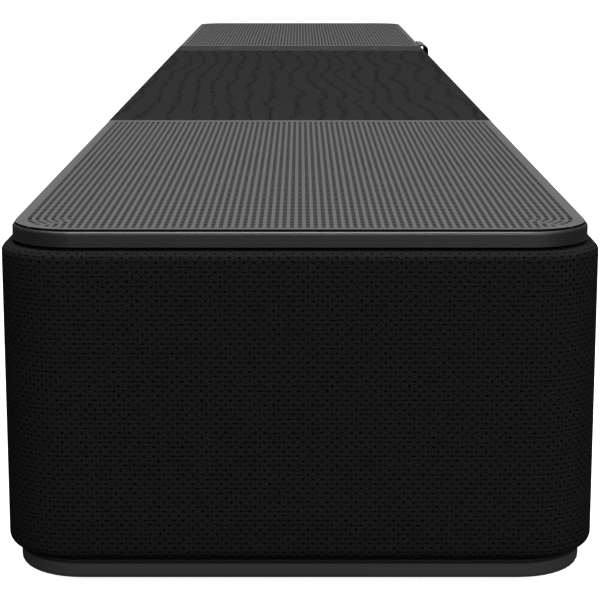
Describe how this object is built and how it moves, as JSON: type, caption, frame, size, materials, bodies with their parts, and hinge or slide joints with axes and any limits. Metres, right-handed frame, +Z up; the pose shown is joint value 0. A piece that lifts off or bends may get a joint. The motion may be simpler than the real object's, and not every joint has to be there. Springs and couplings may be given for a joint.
{
  "type": "soundbar",
  "caption": "Long low soundbar with cloth-covered sides, slotted top grilles, a dark wood top panel, a push-button strip and a recessed rear socket panel.",
  "frame": {"origin": "on the floor under the middle of the bar, at the centre of its outline", "axes": "+X runs along the bar to the listener's right, where the control strip is, -Y faces the listener, +Z is up"},
  "size_m": [0.7082, 0.1259, 0.0783],
  "materials": {
    "base_plastic": "fine texture",
    "cabinet_plastic": "matte",
    "trim_plastic": "fine satin texture",
    "grille_paint": "satin",
    "stained_wood": "open pore, matte",
    "strip_plastic": "matte",
    "tab_metal": "satin",
    "cloth": "knitted speaker cloth",
    "rear_plastic": "fine texture",
    "socket_plastic": "smooth",
    "socket_metal": "plain",
    "gold_plate": "plated",
    "circuit_board": "solder mask",
    "heatsink_metal": "matt",
    "transformer_tape": "tape",
    "switch_metal": "plain",
    "cable_sleeve": "pvc",
    "lens_smoke": "smoked",
    "foot_rubber": "matte",
    "screw_steel": "zinc",
    "basket_steel": "satin",
    "magnet_ferrite": "matt",
    "surround_rubber": "matte",
    "spider_cloth": "resin-stiffened cotton",
    "coil_copper": "enamelled winding",
    "cone_paper": "pressed pulp",
    "cone_aluminium": "anodised"
  },
  "bodies": {
    "soundbar": {"base_plate": "base_plastic", "cabinet": "cabinet_plastic", "top_deck": "cabinet_plastic", "top_trim": "trim_plastic", "left_grille": "grille_paint", "right_grille": "grille_paint", "wood_panel": "stained_wood", "control_strip": "strip_plastic", "control_board": "circuit_board", "tact_switches": "switch_metal", "badge_tab": "tab_metal", "fabric_wrap": "cloth", "rear_panel": "rear_plastic", "power_inlet": "socket_plastic", "power_inlet_pins": "socket_metal", "hdmi_port": "socket_metal", "optical_port": "socket_plastic", "usb_port": "socket_metal", "sub_out_jack": "gold_plate", "main_board": "circuit_board", "heatsink": "heatsink_metal", "power_board": "circuit_board", "transformer": "transformer_tape", "ribbon_cable": "cable_sleeve", "speaker_leads": "cable_sleeve", "status_light_board": "circuit_board", "status_lens": "lens_smoke", "foot_front_left": "foot_rubber", "foot_front_right": "foot_rubber", "foot_rear_left": "foot_rubber", "foot_rear_right": "foot_rubber", "long_screws": "screw_steel", "short_screws": "screw_steel", "wall_mount_inserts": "gold_plate", "left_woofer_basket": "basket_steel", "left_woofer_magnet": "magnet_ferrite", "left_woofer_surround": "surround_rubber", "left_woofer_spider": "spider_cloth", "right_woofer_basket": "basket_steel", "right_woofer_magnet": "magnet_ferrite", "right_woofer_surround": "surround_rubber", "right_woofer_spider": "spider_cloth", "left_driver_frame": "basket_steel", "left_driver_magnet": "magnet_ferrite", "left_driver_surround": "surround_rubber", "right_driver_frame": "basket_steel", "right_driver_magnet": "magnet_ferrite", "right_driver_surround": "surround_rubber"},
    "power_key": {"power_button": "strip_plastic"},
    "source_key": {"source_button": "strip_plastic"},
    "volume_down_key": {"volume_down_button": "strip_plastic"},
    "volume_up_key": {"volume_up_button": "strip_plastic"},
    "left_woofer_diaphragm": {"left_woofer_cone": "cone_paper", "left_woofer_voice_coil": "coil_copper", "left_woofer_dust_cap": "cone_paper"},
    "left_driver_diaphragm": {"left_driver_cone": "cone_aluminium"},
    "right_woofer_diaphragm": {"right_woofer_cone": "cone_paper", "right_woofer_voice_coil": "coil_copper", "right_woofer_dust_cap": "cone_paper"},
    "right_driver_diaphragm": {"right_driver_cone": "cone_aluminium"}
  },
  "joints": [
    {"name": "power_key_press", "type": "slide", "parent": "soundbar", "child": "power_key", "axis": [0, 0, -1], "range_m": [0, 0.0006], "stiffness_N_per_m": 600},
    {"name": "source_key_press", "type": "slide", "parent": "soundbar", "child": "source_key", "axis": [0, 0, -1], "range_m": [0, 0.0006], "stiffness_N_per_m": 600},
    {"name": "volume_down_key_press", "type": "slide", "parent": "soundbar", "child": "volume_down_key", "axis": [0, 0, -1], "range_m": [0, 0.0006], "stiffness_N_per_m": 600},
    {"name": "volume_up_key_press", "type": "slide", "parent": "soundbar", "child": "volume_up_key", "axis": [0, 0, -1], "range_m": [0, 0.0006], "stiffness_N_per_m": 600},
    {"name": "left_woofer_stroke", "type": "slide", "parent": "soundbar", "child": "left_woofer_diaphragm", "axis": [0, 0, 1], "range_m": [-0.003, 0.003], "stiffness_N_per_m": 1500},
    {"name": "left_driver_stroke", "type": "slide", "parent": "soundbar", "child": "left_driver_diaphragm", "axis": [0, -1, 0], "range_m": [-0.0015, 0.0015], "stiffness_N_per_m": 2000},
    {"name": "right_woofer_stroke", "type": "slide", "parent": "soundbar", "child": "right_woofer_diaphragm", "axis": [0, 0, 1], "range_m": [-0.003, 0.003], "stiffness_N_per_m": 1500},
    {"name": "right_driver_stroke", "type": "slide", "parent": "soundbar", "child": "right_driver_diaphragm", "axis": [0, -1, 0], "range_m": [-0.0015, 0.0015], "stiffness_N_per_m": 2000}
  ]
}
